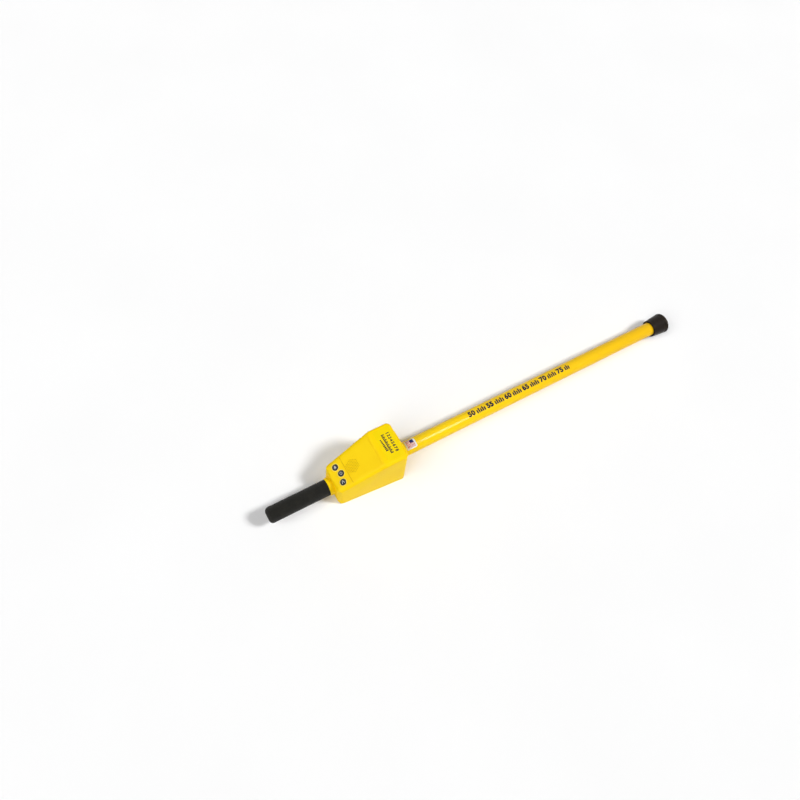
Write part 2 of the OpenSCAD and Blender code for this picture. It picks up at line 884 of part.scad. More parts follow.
module battery_contacts() {
    x1 = cell_x0 - slip_gap;
    mid_z = cell_z0 + cell_h / 2;
    ring_l = stud_h / 2;
    place() color(copper) for (side = sides) {
        mid_y = side * (cell_w + bay_room) / 2;
        block([x1 - contact_t, mid_y - cell_w / 2, cell_z0], [x1, mid_y + cell_w / 2, cell_z0 + cell_h]);
        for (stud = sides) translate([0, mid_y + stud * stud_y, mid_z])
            pipe(x1 - weld, x1 + ring_l, contact_ring_d, stud_d + 2 * slip_gap);
    }
}

module battery_door() {
    bar_half = lug_y0 - run_gap;
    place() color(yellow) difference() {
        union() {
            hull() for (side = sides, z = [door_z0 + door_corner_r, door_z1 - door_corner_r])
                translate([0, side * (door_half - door_corner_r), z]) rod(door_x0, door_x1, 2 * door_corner_r);
            hinge_bore(2 * knuckle_r, bar_half);
            block([door_x0, -bar_half, door_z1 - door_corner_r], [hinge_x, bar_half, hinge_z]);
        }
        hinge_bore(pin_d + 2 * pin_fit, bar_half + over);
        translate([0, 0, latch_z]) rod(door_x0 - over, door_x1 + over, latch_d + 2 * latch_fit);
    }
}

module door_hinge_pin() {
    place() color(silver) {
        hinge_bore(pin_d, lug_y1 + slip_gap + weld);
        for (side = sides) translate([0, side * (lug_y1 + slip_gap + pin_head_t / 2), 0])
            hinge_bore(pin_head_d, pin_head_t / 2);
    }
}

module door_screw() {
    knob_x0 = door_x1 + run_gap;
    knob_x1 = knob_x0 + latch_knob_t;
    place() color(silver) translate([0, 0, latch_z]) difference() {
        union() {
            rod(rear_x - wall, knob_x0 + weld, latch_d);
            rod(knob_x0, knob_x1, latch_knob_d);
        }
        block([knob_x1 - latch_slot_depth, -latch_knob_d, -latch_slot_w / 2],
            [knob_x1 + over, latch_knob_d, latch_slot_w / 2]);
    }
}

module label_plate() {
    place() color(lemon) hull() for (side = sides, x = [label_x0 + label_r, label_x1 - label_r])
        translate([x, side * (label_half - label_r), rear_top])
            cylinder(r = label_r, h = label_t, $fn = hull_fn);
}

staff_tube();
tip_boot();
tip_plug();
tip_seal();
sensor_board();
board_spacers();
lower_bobbin();
lower_winding();
upper_bobbin();
upper_winding();
housing_shell();
bottom_cover();
cover_gasket();
cover_screws();
tube_socket();
tube_seal();
handle_collar();
handle_core();
handle_nut();
core_plug();
hand_grip();
button_volume();
button_power();
button_gain();
keypad_board();
tact_switches();
keypad_screws();
speaker_gasket();
speaker_frame();
speaker_cone();
speaker_magnet();
main_board();
board_parts();
edge_connector();
board_screws();
battery_box();
battery_left();
battery_right();
battery_contacts();
battery_door();
door_hinge_pin();
door_screw();
label_plate();
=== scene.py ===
"""Looks of the magnetic locator: finishes, turned and dressed pieces, printed marks, studio and camera.

Lengths are metres in the part's own frame: x runs from the grip to the tip and z is up.
Flat prints are drawn in millimetres.
"""

import json
import math

import bmesh
import bpy
from mathutils import Matrix, Vector, noise


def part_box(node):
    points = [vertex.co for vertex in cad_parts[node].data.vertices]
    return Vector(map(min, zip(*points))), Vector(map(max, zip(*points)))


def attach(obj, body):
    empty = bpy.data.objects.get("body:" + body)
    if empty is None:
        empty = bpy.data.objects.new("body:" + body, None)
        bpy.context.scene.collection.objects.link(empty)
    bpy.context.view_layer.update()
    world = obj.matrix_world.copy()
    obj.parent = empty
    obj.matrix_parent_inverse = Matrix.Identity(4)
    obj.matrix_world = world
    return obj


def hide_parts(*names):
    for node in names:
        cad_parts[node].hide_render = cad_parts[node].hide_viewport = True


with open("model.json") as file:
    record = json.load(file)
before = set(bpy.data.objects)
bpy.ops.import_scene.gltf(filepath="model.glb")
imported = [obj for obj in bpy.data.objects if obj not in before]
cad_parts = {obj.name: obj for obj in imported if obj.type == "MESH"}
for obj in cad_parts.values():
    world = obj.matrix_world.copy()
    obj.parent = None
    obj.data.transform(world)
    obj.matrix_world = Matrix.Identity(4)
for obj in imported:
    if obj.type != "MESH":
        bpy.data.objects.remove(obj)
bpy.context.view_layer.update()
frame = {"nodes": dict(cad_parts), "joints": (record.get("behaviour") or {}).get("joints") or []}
SCENE = bpy.context.scene
BODY = "locator"
MM = 0.001

# Stations and radii, taken from the solids
TUBE_LOW, TUBE_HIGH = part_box("staff_tube")
TUBE_R = (TUBE_HIGH.y - TUBE_LOW.y) / 2
AXIS_Z = (TUBE_HIGH.z + TUBE_LOW.z) / 2
BOOT_LOW, BOOT_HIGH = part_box("tip_boot")
GRIP_LOW, GRIP_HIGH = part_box("hand_grip")
COLLAR_LOW, COLLAR_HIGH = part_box("handle_collar")
LABEL_LOW, LABEL_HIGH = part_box("label_plate")

# Radii that a box doesn't give: the boot's round rim, and the bore of the grip and the collar
BOOT_RIM_R = 2.5 * MM
HANDLE_BORE_R = 12.8 * MM

# The sloping panel, read from the way its buttons travel
PRESS = Vector(next(j["axis"] for j in frame["joints"] if j["name"] == "power_press"))
PANEL_OUT = -PRESS.normalized()
PANEL_UP = Vector((PANEL_OUT.z, 0, -PANEL_OUT.x))
READER_RIGHT = Vector((0, -1, 0))
TIPWARD = Vector((1, 0, 0))

# Thickness of a print and of a sticker, how far a print stands off, and how near two corners are one
INK_T = 0.08 * MM
FILM_T = 0.15 * MM
INK_LIFT = 0.04 * MM
INK_DOUBLES = 0.005 * MM


def paint(red, green, blue):
    """A colour as a chart gives it, 0 to 255, made linear for the shaders."""
    shares = [c / 255 for c in (red, green, blue)]
    return [s / 12.92 if s <= 0.04045 else ((s + 0.055) / 1.055) ** 2.4 for s in shares] + [1]


def grey(level):
    """A neutral colour at a linear level, 0 to 1."""
    return [level, level, level, 1]


# Finishes


class Value:
    """A shader socket that takes part in Python sums."""

    def __init__(self, nodes, socket):
        self.nodes = nodes
        self.socket = socket

    def __add__(self, other):
        return self.nodes.sum("ADD", self, other)

    def __rsub__(self, other):
        return self.nodes.sum("SUBTRACT", other, self)

    def __mul__(self, other):
        return self.nodes.sum("MULTIPLY", self, other)

    __radd__ = __add__
    __rmul__ = __mul__


class Nodes:
    """A tree of shader nodes that Python values and sums feed."""

    def __init__(self, tree):
        self.tree = tree

    def node(self, kind, settings=None, out=0, **inputs):
        """Adds a node and gives one output; an input goes by its name, or by the letter i and its number."""
        made = self.tree.nodes.new(kind)
        for key, value in (settings or {}).items():
            setattr(made, key, value)
        for key, value in inputs.items():
            number = key[1:]
            self.feed(made.inputs[int(number) if number.isdigit() else key.replace("_", " ")], value)
        return Value(self, made.outputs[out])

    def feed(self, socket, value):
        """Links a socket to a value, or sets it to a constant."""
        if isinstance(value, Value):
            self.tree.links.new(value.socket, socket)
        else:
            socket.default_value = value

    def sum(self, operation, first, second):
        return self.node("ShaderNodeMath", {"operation": operation}, i0=first, i1=second)

    def mix(self, share, first, second):
        """A colour between two colours."""
        return self.node("ShaderNodeMix", {"data_type": "RGBA"}, 2, i0=share, i6=first, i7=second)

    def looked_at(self):
        """1 where the camera, a reflection or a clear piece looks, and 0 for the light that is sent out."""
        kinds = ("Is Camera Ray", "Is Glossy Ray", "Is Transmission Ray")
        camera_ray, glossy, clear = [self.node("ShaderNodeLightPath", out=kind) for kind in kinds]
        return camera_ray + glossy + clear


class Finish(Nodes):
    """One procedural material: a Principled shader and the nodes that feed it."""

    def __init__(self, name, **constants):
        self.material = bpy.data.materials.new(name)
        self.material.use_nodes = True
        super().__init__(self.material.node_tree)
        self.shader = self.tree.nodes["Principled BSDF"]
        for socket, value in constants.items():
            self.give(socket.replace("_", " "), value)
        self.place = self.node("ShaderNodeTexCoord", out="Object")

    def give(self, socket, value):
        """Feeds one of the shader's sockets."""
        self.feed(self.shader.inputs[socket], value)

    def noise(self, scale, detail, stretch=(1, 1, 1), roughness=0.5):
        """Cloudy values from 0 to 1; scale counts features to the metre."""
        place = self.node("ShaderNodeMapping", Vector=self.place, Scale=stretch)
        return self.node("ShaderNodeTexNoise", Vector=place, Scale=scale, Detail=detail, Roughness=roughness)

    def cells(self, scale):
        """Distance to the middle of each cell in a foam of cells."""
        return self.node("ShaderNodeTexVoronoi", Vector=self.place, Scale=scale)

    def along(self, axis):
        """One coordinate of the surface, in metres."""
        return self.node("ShaderNodeSeparateXYZ", out=axis, Vector=self.place)

    def rise(self, value, low, high):
        """0 below low, 1 above high and straight between."""
        return self.node("ShaderNodeMapRange", Value=value, From_Min=low, From_Max=high)

    def coat(self, colour, roughness, height, strength, depth):
        """Gives the shader what changes over the surface; the height turns into bumps."""
        self.give("Base Color", colour)
        self.give("Roughness", roughness)
        self.give("Normal", self.node("ShaderNodeBump", Strength=strength, Distance=depth, Height=height))
        return self


YELLOW = paint(255, 217, 8)
YELLOW_DEEP = paint(252, 210, 5)
YELLOW_PALE = paint(255, 226, 70)
ROAD_DUST = paint(176, 150, 96)


def yellow_moulding():
    """Satin moulded plastic with a fine grain, faint scuffs and a little dust near the ground."""
    dust_h = 14 * MM
    f = Finish("yellow_moulding", Specular_IOR_Level=0.1)
    drift = f.rise(f.noise(22, 3), 0.3, 0.7)
    scuff = f.rise(f.noise(160, 7, (1, 1.6, 1.6), 0.7), 0.63, 0.75)
    dust = (1 - f.rise(f.along("Z"), 0, dust_h)) * f.rise(f.noise(75, 5), 0.45, 0.7)
    body = f.mix(drift, YELLOW_DEEP, YELLOW)
    worn = f.mix(scuff * 0.22, body, YELLOW_PALE)
    dusty = f.mix(dust * 0.3, worn, ROAD_DUST)
    grain = f.noise(1500, 2) + 0.4 * f.noise(420, 2)
    return f.coat(dusty, 0.44 + 0.1 * scuff + 0.06 * drift, grain, 0.16, 0.08 * MM)


def yellow_coat():
    """Gloss coat on the staff: slight orange peel, rubbed lines along the tube, and painted shade that
    darkens and warms it towards the tip.
    """
    f = Finish("yellow_coat", Specular_IOR_Level=0.1, Coat_Weight=0.2, Coat_Roughness=0.08)
    tip_shade = f.rise(f.along("X"), TUBE_LOW.x, TUBE_HIGH.x)
    rub = f.rise(f.noise(260, 6, (0.06, 1, 1), 0.65), 0.6, 0.74)
    handled = f.rise(f.noise(9, 4), 0.4, 0.7)
    # Painted shade: the coat's colour darkens towards the tip
    body = f.mix(tip_shade, paint(254, 214, 4), paint(240, 188, 2))
    worn = f.mix(rub * 0.2, body, YELLOW_PALE)
    return f.coat(worn, 0.3 + 0.12 * rub + 0.06 * handled, f.noise(520, 3), 0.05, 0.05 * MM)


def label_film():
    """Smooth film, a little more lemon than the housing, with a barely visible emboss."""
    f = Finish("label_film", Specular_IOR_Level=0.14)
    drift = f.rise(f.noise(60, 3), 0.3, 0.7)
    body = f.mix(drift, paint(244, 213, 6), paint(248, 217, 9))
    return f.coat(body, 0.32 + 0.08 * drift, f.noise(900, 2), 0.05, 0.03 * MM)


def grip_foam():
    """Closed-cell foam: small pores, cloudy wear and a dull sheen."""
    f = Finish("grip_foam", Specular_IOR_Level=0.14, Sheen_Weight=0.06, Sheen_Roughness=0.6)
    pores = f.rise(f.cells(950), 0.1, 0.55)
    cloud = f.rise(f.noise(70, 6, (1, 1, 1), 0.65), 0.35, 0.68)
    speck = f.rise(f.noise(1300, 3), 0.55, 0.75)
    body = f.mix(cloud, paint(18, 18, 15), paint(33, 32, 28))
    dotted = f.mix(speck * 0.3, body, paint(58, 56, 51))
    return f.coat(dotted, 0.78 + 0.14 * cloud, pores + 0.8 * f.noise(330, 4), 0.55, 0.35 * MM)


def boot_rubber():
    """Moulded rubber: semi-gloss, with a dusty foot and fine flow marks."""
    dust_l = 16 * MM
    f = Finish("boot_rubber", Specular_IOR_Level=0.14)
    foot = f.rise(f.along("X"), BOOT_HIGH.x - dust_l, BOOT_HIGH.x)
    smear = f.rise(f.noise(120, 6, (1, 1, 1), 0.65), 0.42, 0.7)
    body = f.mix(smear * 0.5, paint(21, 14, 7), paint(42, 32, 22))
    dusty = f.mix(foot * smear * 0.35, body, paint(92, 80, 64))
    return f.coat(dusty, 0.3 + 0.22 * smear + 0.12 * foot, f.noise(800, 3), 0.18, 0.1 * MM)


def key_rubber():
    """Fine matt keypad rubber, a little shinier where it is pressed."""
    f = Finish("key_rubber", Specular_IOR_Level=0.35)
    touched = f.rise(f.noise(210, 4), 0.4, 0.65)
    body = f.mix(touched, paint(19, 19, 20), paint(34, 34, 35))
    return f.coat(body, 0.58 - 0.14 * touched, f.noise(2600, 2), 0.2, 0.05 * MM)


def ink(name, colour, faded):
    """Printed ink, slightly uneven and rubbed thin in places."""
    f = Finish(name, Specular_IOR_Level=0.12)
    thin = f.rise(f.noise(700, 4), 0.5, 0.8)
    return f.coat(f.mix(thin * 0.5, colour, faded), 0.45 + 0.15 * thin, f.noise(1500, 2), 0.06, 0.02 * MM)


def moulded(name, colour, lighter, roughness=0.5):
    """Plain moulded plastic or seal rubber with a fine grain."""
    f = Finish(name, Specular_IOR_Level=0.4)
    drift = f.rise(f.noise(140, 4), 0.35, 0.7)
    return f.coat(f.mix(drift, colour, lighter), roughness + 0.1 * drift, f.noise(1400, 2), 0.15, 0.06 * MM)


def metal(name, colour, lighter, stretch, roughness=0.3):
    """Bare metal with fine tool lines along one direction and dull patches."""
    f = Finish(name, Metallic=1.0)
    lines = f.noise(900, 3, stretch)
    dull = f.rise(f.noise(160, 4), 0.45, 0.7)
    return f.coat(f.mix(dull, lighter, colour), roughness + 0.16 * dull + 0.1 * lines, lines, 0.12, 0.04 * MM)


def circuit_board():
    """Solder mask over faint copper tracks."""
    f = Finish("circuit_board", Specular_IOR_Level=0.5)
    tracks = f.node("ShaderNodeTexBrick", {"offset": 0.5}, "Fac",
                    Vector=f.place, Scale=160.0, Mortar_Size=0.05)
    drift = f.rise(f.noise(260, 3), 0.35, 0.7)
    mask = f.mix(drift, paint(14, 82, 46), paint(20, 98, 56))
    body = f.mix(tracks * 0.7, mask, paint(58, 140, 78))
    return f.coat(body, 0.34 + 0.1 * drift, tracks, 0.1, 0.03 * MM)


def wound_copper():
    """Close turns of enamelled wire, and plated contacts."""
    f = Finish("wound_copper", Metallic=1.0)
    turns = f.node("ShaderNodeTexWave", {"bands_direction": "X"}, "Fac",
                   Vector=f.place, Scale=700.0, Distortion=0.4)
    body = f.mix(turns, paint(128, 66, 30), paint(206, 128, 72))
    return f.coat(body, 0.28 + 0.2 * turns, turns, 0.5, 0.2 * MM)


def cone_paper():
    """Buff pressed paper with a fibrous grain."""
    f = Finish("cone_paper", Specular_IOR_Level=0.2)
    fibre = f.noise(600, 6, (1, 2.5, 1), 0.65)
    body = f.mix(f.rise(fibre, 0.35, 0.7), paint(178, 146, 62), paint(204, 172, 84))
    return f.coat(body, 0.82 + 0.1 * fibre, fibre, 0.3, 0.1 * MM)


def battery_jacket():
    """Printed steel jacket: pale grey, with a slate band at the end towards the tip."""
    band_l, band_edge = 15 * MM, 0.4 * MM
    band_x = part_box("battery_left")[1].x - band_l
    f = Finish("battery_jacket", Specular_IOR_Level=0.5, Coat_Weight=0.3)
    band = f.rise(f.along("X"), band_x, band_x + band_edge)
    drift = f.rise(f.noise(120, 3), 0.35, 0.7)
    plain = f.mix(drift, paint(176, 180, 184), paint(198, 201, 204))
    body = f.mix(band, plain, paint(62, 76, 92))
    return f.coat(body, 0.3 + 0.12 * drift, f.noise(900, 2), 0.06, 0.04 * MM)


SKIN = yellow_moulding()
STAFF = yellow_coat()
LABEL = label_film()
FOAM = grip_foam()
BOOT = boot_rubber()
KEY = key_rubber()
NAVY = ink("navy_ink", paint(24, 26, 48), paint(58, 58, 70))
ICON = ink("icon_ink", paint(206, 208, 208), paint(150, 152, 152))
WHITE = ink("sticker_white", paint(252, 252, 248), paint(240, 239, 233))
RED = ink("sticker_red", paint(204, 48, 56), paint(214, 98, 98))
BLUE = ink("sticker_blue", paint(38, 56, 120), paint(84, 98, 150))
DARK = moulded("dark_moulding", paint(36, 36, 37), paint(52, 52, 53))
IVORY = moulded("ivory_moulding", paint(224, 219, 200), paint(233, 229, 214))
SEAL = moulded("seal_rubber", paint(26, 26, 26), paint(42, 42, 41), 0.6)
STEEL = metal("plated_steel", paint(168, 170, 172), paint(206, 208, 210), (1, 1, 0.1))
ALUMINIUM = metal("drawn_aluminium", paint(186, 188, 190), paint(216, 218, 220), (0.05, 1, 1), 0.36)
BOARD = circuit_board()
COPPER = wound_copper()
PAPER = cone_paper()
JACKET = battery_jacket()
# Painted highlight: a pale ring where each button's raised rim catches the light
RIM_HIGHLIGHT = ink("rim_highlight_paint", paint(254, 230, 110), paint(252, 222, 70))
# Painted shade along the floors of the two scored lines, one deeper and one faint
GROOVE_SHADE = ink("groove_shade_paint", paint(210, 164, 6), paint(232, 188, 8))
FAINT_GROOVE_SHADE = ink("faint_groove_shade_paint", paint(246, 204, 7), paint(252, 210, 8))
# Painted shade: darkened yellow a little way down each speaker hole
HOLE_SHADE = ink("grille_hole_shade", paint(196, 164, 8), paint(216, 182, 12))


# Ways of making a piece


def placed(name, data):
    """Puts a mesh, a lamp or a camera into the scene."""
    made = bpy.data.objects.new(name, data)
    SCENE.collection.objects.link(made)
    return made


def piece(name, bm, finish, body=BODY, stands_for=None, crease=34):
    """Makes a bmesh a piece of the locator that rides on a body, shaded smooth up to the crease angle."""
    mesh = bpy.data.meshes.new(name)
    bm.to_mesh(mesh)
    bm.free()
    # A copy of a solid brings the solid's own shading, which doesn't fit the changed mesh
    if "custom_normal" in mesh.attributes:
        mesh.attributes.remove(mesh.attributes["custom_normal"])
    mesh.materials.append(finish.material)
    mesh.shade_smooth()
    mesh.set_sharp_from_angle(angle=math.radians(crease))
    made = placed(name, mesh)
    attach(made, body)
    if stands_for:
        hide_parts(stands_for)
    return made


def dressed(node, finish, edge=0.0, rings=2, body=BODY):
    """A finished copy of a CAD node: doubles merged, flats joined and sharp edges rounded.

    Its large faces lead the shading, so that flats stay flat beside their rounded edges.
    """
    doubles, flat, sharp = 0.002 * MM, math.radians(0.3), math.radians(50)
    bm = bmesh.new()
    bm.from_mesh(frame["nodes"][node].data)
    bmesh.ops.remove_doubles(bm, verts=bm.verts, dist=doubles)
    bmesh.ops.dissolve_limit(bm, angle_limit=flat, verts=bm.verts, edges=bm.edges)
    if edge:
        corners = [e for e in bm.edges if e.is_manifold and e.calc_face_angle() > sharp]
        bmesh.ops.bevel(bm, geom=corners, offset=edge, offset_type="OFFSET", segments=rings, profile=0.5,
                        affect="EDGES", clamp_overlap=True, material=-1)
    made = piece(node + "_dressed", bm, finish, body, node)
    made.modifiers.new("even_flats", "WEIGHTED_NORMAL").keep_sharp = True


def arc(centre, radius, start, end, count=8):
    """Points of a round stretch of an outline, from one angle to another in degrees."""
    angles = [math.radians(start + (end - start) * k / count) for k in range(count + 1)]
    return [(centre[0] + radius * math.cos(a), centre[1] + radius * math.sin(a)) for a in angles]


def turned(outline, place, steps=96):
    """A closed outline of (radius, height) points, spun about the Z axis of a place."""
    doubles = 0.001 * MM
    bm = bmesh.new()
    corners = [bm.verts.new((r, 0, h)) for r, h in outline]
    edges = [bm.edges.new(pair) for pair in zip(corners, corners[1:] + corners[:1])]
    bmesh.ops.spin(bm, geom=corners + edges, axis=(0, 0, 1), cent=(0, 0, 0), angle=math.tau,
                   steps=steps, use_merge=True)
    bmesh.ops.remove_doubles(bm, verts=bm.verts, dist=doubles)
    bmesh.ops.dissolve_degenerate(bm, edges=bm.edges, dist=doubles)
    bmesh.ops.recalc_face_normals(bm, faces=bm.faces)
    bm.transform(place)
    return bm


def on_axis(x):
    """The place of a piece that is turned about the staff's centre line, starting at a station."""
    return Matrix.Translation((x, 0, AXIS_Z)) @ Matrix.Rotation(math.radians(90), 4, "Y")


def facing(origin, right, up):
    """A place whose x goes to the reader's right, y up and z to the reader."""
    out = right.cross(up)
    return Matrix.Translation(origin) @ Matrix((right, up, out)).transposed().to_4x4()


# Ways of making a print


def bar(x0, y0, x1, y1):
    """The corners of a rectangle."""
    return [(x0, y0), (x1, y0), (x1, y1), (x0, y1)]


def upright(x, width, foot, top):
    """The corners of a standing bar, centred on x."""
    return bar(x - width / 2, foot, x + width / 2, top)


def round_corners(x0, y0, x1, y1, r):
    """The outline of a rectangle with rounded corners."""
    middles = ((x1 - r, y1 - r), (x0 + r, y1 - r), (x0 + r, y0 + r), (x1 - r, y0 + r))
    return [point for k, middle in enumerate(middles) for point in arc(middle, r, 90 * k, 90 * k + 90, 6)]


def bow(radius, width, start, end, count=20):
    """The corners of a stretch of a ring."""
    outer, inner = radius + width / 2, radius - width / 2
    return arc((0, 0), outer, start, end, count) + arc((0, 0), inner, end, start, count)


def joined(shapes):
    """One flat bmesh of several shapes, each a list of corners."""
    bm = bmesh.new()
    for corners in shapes:
        bm.faces.new([bm.verts.new((x * MM, y * MM, 0)) for x, y in corners])
    bm.normal_update()
    return bm


def add_numerals(bm, text, size, middle, bold):
    """Adds flat numerals to a bmesh, centred on a spot; bold widens each stroke by a share of the size."""
    curve = bpy.data.curves.new("numerals", "FONT")
    curve.body = text
    curve.size = size * MM
    curve.align_x = "CENTER"
    curve.align_y = "CENTER"
    curve.resolution_u = 4
    curve.space_character = 1.1
    curve.offset = bold * size * MM
    holder = placed("numerals", curve)
    bpy.context.view_layer.update()
    mesh = bpy.data.meshes.new_from_object(holder)
    mesh.transform(Matrix.Translation((middle[0] * MM, middle[1] * MM, 0)))
    bm.from_mesh(mesh)
    bpy.data.objects.remove(holder)
    bpy.data.curves.remove(curve)
    bpy.data.meshes.remove(mesh)


def face_up(bm):
    """Turns every face of a flat print to the reader."""
    for face in bm.faces:
        if face.normal.z < 0:
            face.normal_flip()


def thick(made, thickness):
    """Gives a flat print its thickness, outwards."""
    solid = made.modifiers.new("thickness", "SOLIDIFY")
    solid.thickness = thickness
    solid.offset = 1.0


def printed(name, bm, place, finish, body=BODY):
    """A flat print on a flat place."""
    bmesh.ops.remove_doubles(bm, verts=bm.verts, dist=INK_DOUBLES)
    face_up(bm)
    bm.transform(place @ Matrix.Translation((0, 0, INK_LIFT)))
    thick(piece(name, bm, finish, body, crease=20), INK_T)


def wrapped(name, bm, finish, lift=INK_LIFT, thickness=INK_T):
    """Bends a flat print round the top of the staff.

    Its x is the station from the grip's end, and its y goes to the left.
    """
    strip, on_cut = 1.0 * MM, 0.001 * MM
    bmesh.ops.remove_doubles(bm, verts=bm.verts, dist=INK_DOUBLES)
    ys = [v.co.y for v in bm.verts]
    low, high = min(ys), max(ys)
    for k in range(1, math.ceil((high - low) / strip)):
        whole = bm.verts[:] + bm.edges[:] + bm.faces[:]
        bmesh.ops.bisect_plane(bm, geom=whole, dist=on_cut,
                               plane_co=(0, low + k * strip, 0), plane_no=(0, 1, 0))
    face_up(bm)
    reach = TUBE_R + lift
    for v in bm.verts:
        turn = v.co.y / TUBE_R
        v.co = (GRIP_LOW.x + v.co.x, reach * math.sin(turn), AXIS_Z + reach * math.cos(turn))
    thick(piece(name, bm, finish, crease=40), thickness)


# Staff, boot, collar and grip


def staff_tube():
    """The staff, with broken edges at both cut ends."""
    length = TUBE_HIGH.x - TUBE_LOW.x
    wall, broken = 2 * MM, 0.4 * MM
    outline = [(TUBE_R - wall, 0), (TUBE_R - broken, 0), (TUBE_R, broken)]
    outline += [(TUBE_R, length - broken), (TUBE_R - broken, length), (TUBE_R - wall, length)]
    piece("staff", turned(outline, on_axis(TUBE_LOW.x)), STAFF, stands_for="staff_tube")


def tip_boot():
    """The flared boot: thick round lip, swelling flare, groove, round rim and ringed sole."""
    length = BOOT_HIGH.x - BOOT_LOW.x
    foot_r = (BOOT_HIGH.y - BOOT_LOW.y) / 2
    fit, lip_t, lip_r, ease = 0.1 * MM, 4.2 * MM, 1.5 * MM, 0.5 * MM
    floor_t, collar_l, swell = 7 * MM, 3 * MM, 0.92
    groove_at, groove_w, groove_in, groove_slant = 9 * MM, 1.6 * MM, 0.9 * MM, 0.27 * MM
    ring_radii = (17 * MM, 11 * MM, 5 * MM)
    ring_mouth, ring_floor, ring_in = 0.8 * MM, 0.4 * MM, 0.7 * MM
    lower_steps, upper_steps = 8, 4
    bore_r = TUBE_R + fit
    mouth_r = bore_r + lip_t
    flare_l = length - BOOT_RIM_R - collar_l

    def flare(share):
        """A point on the flare, at a share of its length."""
        return mouth_r + (foot_r - mouth_r) * share ** swell, collar_l + flare_l * share

    groove_share = (length - groove_at - collar_l) / flare_l
    groove_end = groove_share + groove_w / flare_l
    lower, upper = flare(groove_share), flare(groove_end)
    outline = [(bore_r, ease), (bore_r + ease, 0)] + arc((mouth_r - lip_r, lip_r), lip_r, -90, 0)
    outline += [flare(groove_share * k / lower_steps) for k in range(lower_steps + 1)]
    outline += [(lower[0] - groove_in, lower[1] + groove_slant)]
    outline += [(upper[0] - groove_in, upper[1] - groove_slant)]
    outline += [flare(groove_end + (1 - groove_end) * k / upper_steps) for k in range(upper_steps)]
    outline += arc((foot_r - BOOT_RIM_R, length - BOOT_RIM_R), BOOT_RIM_R, 0, 90, 10)
    for ring_r in ring_radii:
        outline += [(ring_r + ring_mouth, length), (ring_r + ring_floor, length - ring_in)]
        outline += [(ring_r - ring_floor, length - ring_in), (ring_r - ring_mouth, length)]
    outline += [(0, length), (0, length - floor_t), (bore_r, length - floor_t)]
    piece("boot", turned(outline, on_axis(BOOT_LOW.x)), BOOT, stands_for="tip_boot")


def handle_collar():
    """The collar: a round shoulder towards the grip and a fine step against the housing."""
    length = COLLAR_HIGH.x - COLLAR_LOW.x
    outer = (COLLAR_HIGH.y - COLLAR_LOW.y) / 2
    shoulder, step_in, step_l, step_slant = 1.6 * MM, 0.5 * MM, 1.2 * MM, 0.4 * MM
    outline = [(HANDLE_BORE_R, 0)] + arc((outer - shoulder, shoulder), shoulder, -90, 0)
    outline += [(outer, length - step_l - step_slant), (outer - step_in, length - step_l)]
    outline += [(outer - step_in, length), (HANDLE_BORE_R, length)]
    bm = turned(outline, on_axis(COLLAR_LOW.x))
    piece("collar", bm, SKIN, stands_for="handle_collar")


def hand_grip():
    """The foam grip: a soft round end, a slightly rolled mouth and a skin that isn't quite even."""
    length = GRIP_HIGH.x - GRIP_LOW.x
    outer = (GRIP_HIGH.y - GRIP_LOW.y) / 2
    end_t, end_r, mouth_r = 6 * MM, 9 * MM, 1.2 * MM
    lump, lump_size, stations = 0.22 * MM, 16 * MM, 60
    straight = length - end_r - mouth_r
    outline = [(0, end_t), (0, 0)] + arc((outer - end_r, end_r), end_r, -90, 0, 12)
    outline += [(outer, end_r + straight * k / stations) for k in range(1, stations)]
    outline += arc((outer - mouth_r, length - mouth_r), mouth_r, 0, 90, 6)
    outline += [(HANDLE_BORE_R, length), (HANDLE_BORE_R, end_t)]
    bm = turned(outline, on_axis(GRIP_LOW.x))
    axis = Vector((0, 0, AXIS_Z))
    for v in bm.verts:
        away = Vector((0, v.co.y, v.co.z)) - axis
        if away.length > HANDLE_BORE_R + mouth_r:
            v.co += away.normalized() * lump * (noise.noise(v.co / lump_size) - 0.5)
    grip = piece("grip", bm, FOAM, stands_for="hand_grip")


# Push buttons and the rest of the panel

# Marks on the buttons, drawn from the middle of the cap
HORN = [(-3.4, -1.1), (-2.2, -1.1), (1.4, -3.4), (1.4, 3.4), (-2.2, 1.1), (-3.4, 1.1)]
WAVE = [(x + 0.2, y) for x, y in bow(2.6, 0.8, -38, 38)]
OPEN_RING = bow(2.7, 0.8, 125, 415, 32)
STROKE = bar(-0.4, 0.4, 0.4, 3.6)
HAIRPIN = [(2.9, 3.4), (-3.8, 0.6), (-3.8, -0.6), (2.9, -3.4), (2.9, -2.2), (-2.3, 0), (2.9, 2.2)]
# Each button's node, body and mark
BUTTONS = (
    ("button_volume", "volume_button", (HORN, WAVE)),
    ("button_power", "power_button", (OPEN_RING, STROKE)),
    ("button_gain", "gain_button", (HAIRPIN,)),
)
BUTTON_STEPS = 64
# Each scored line: how far it is up the panel from the power button, half its length, its width and depth,
# and the finish that paints shade along its floor
SCORES = {
    "lower_score_line": (12.9, 31.3, 1.0, 0.8, GROOVE_SHADE),
    "upper_score_line": (85.9, 35.1, 0.8, 0.5, FAINT_GROOVE_SHADE),
}


def cap_place(node, below=0.0):
    """The middle of a button's top, or a spot so many millimetres below it, as a place to print on."""
    corners = [v.co for v in frame["nodes"][node].data.vertices]
    heights = [c.dot(PANEL_OUT) for c in corners]
    rises = [c.dot(PANEL_UP) for c in corners]
    middle_y = sum(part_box(node), Vector()).y / 2
    middle = PANEL_OUT * max(heights) + PANEL_UP * (max(rises) + min(rises)) / 2
    top = facing(middle + Vector((0, middle_y, 0)), READER_RIGHT, PANEL_UP)
    return top @ Matrix.Translation((0, 0, -below * MM))


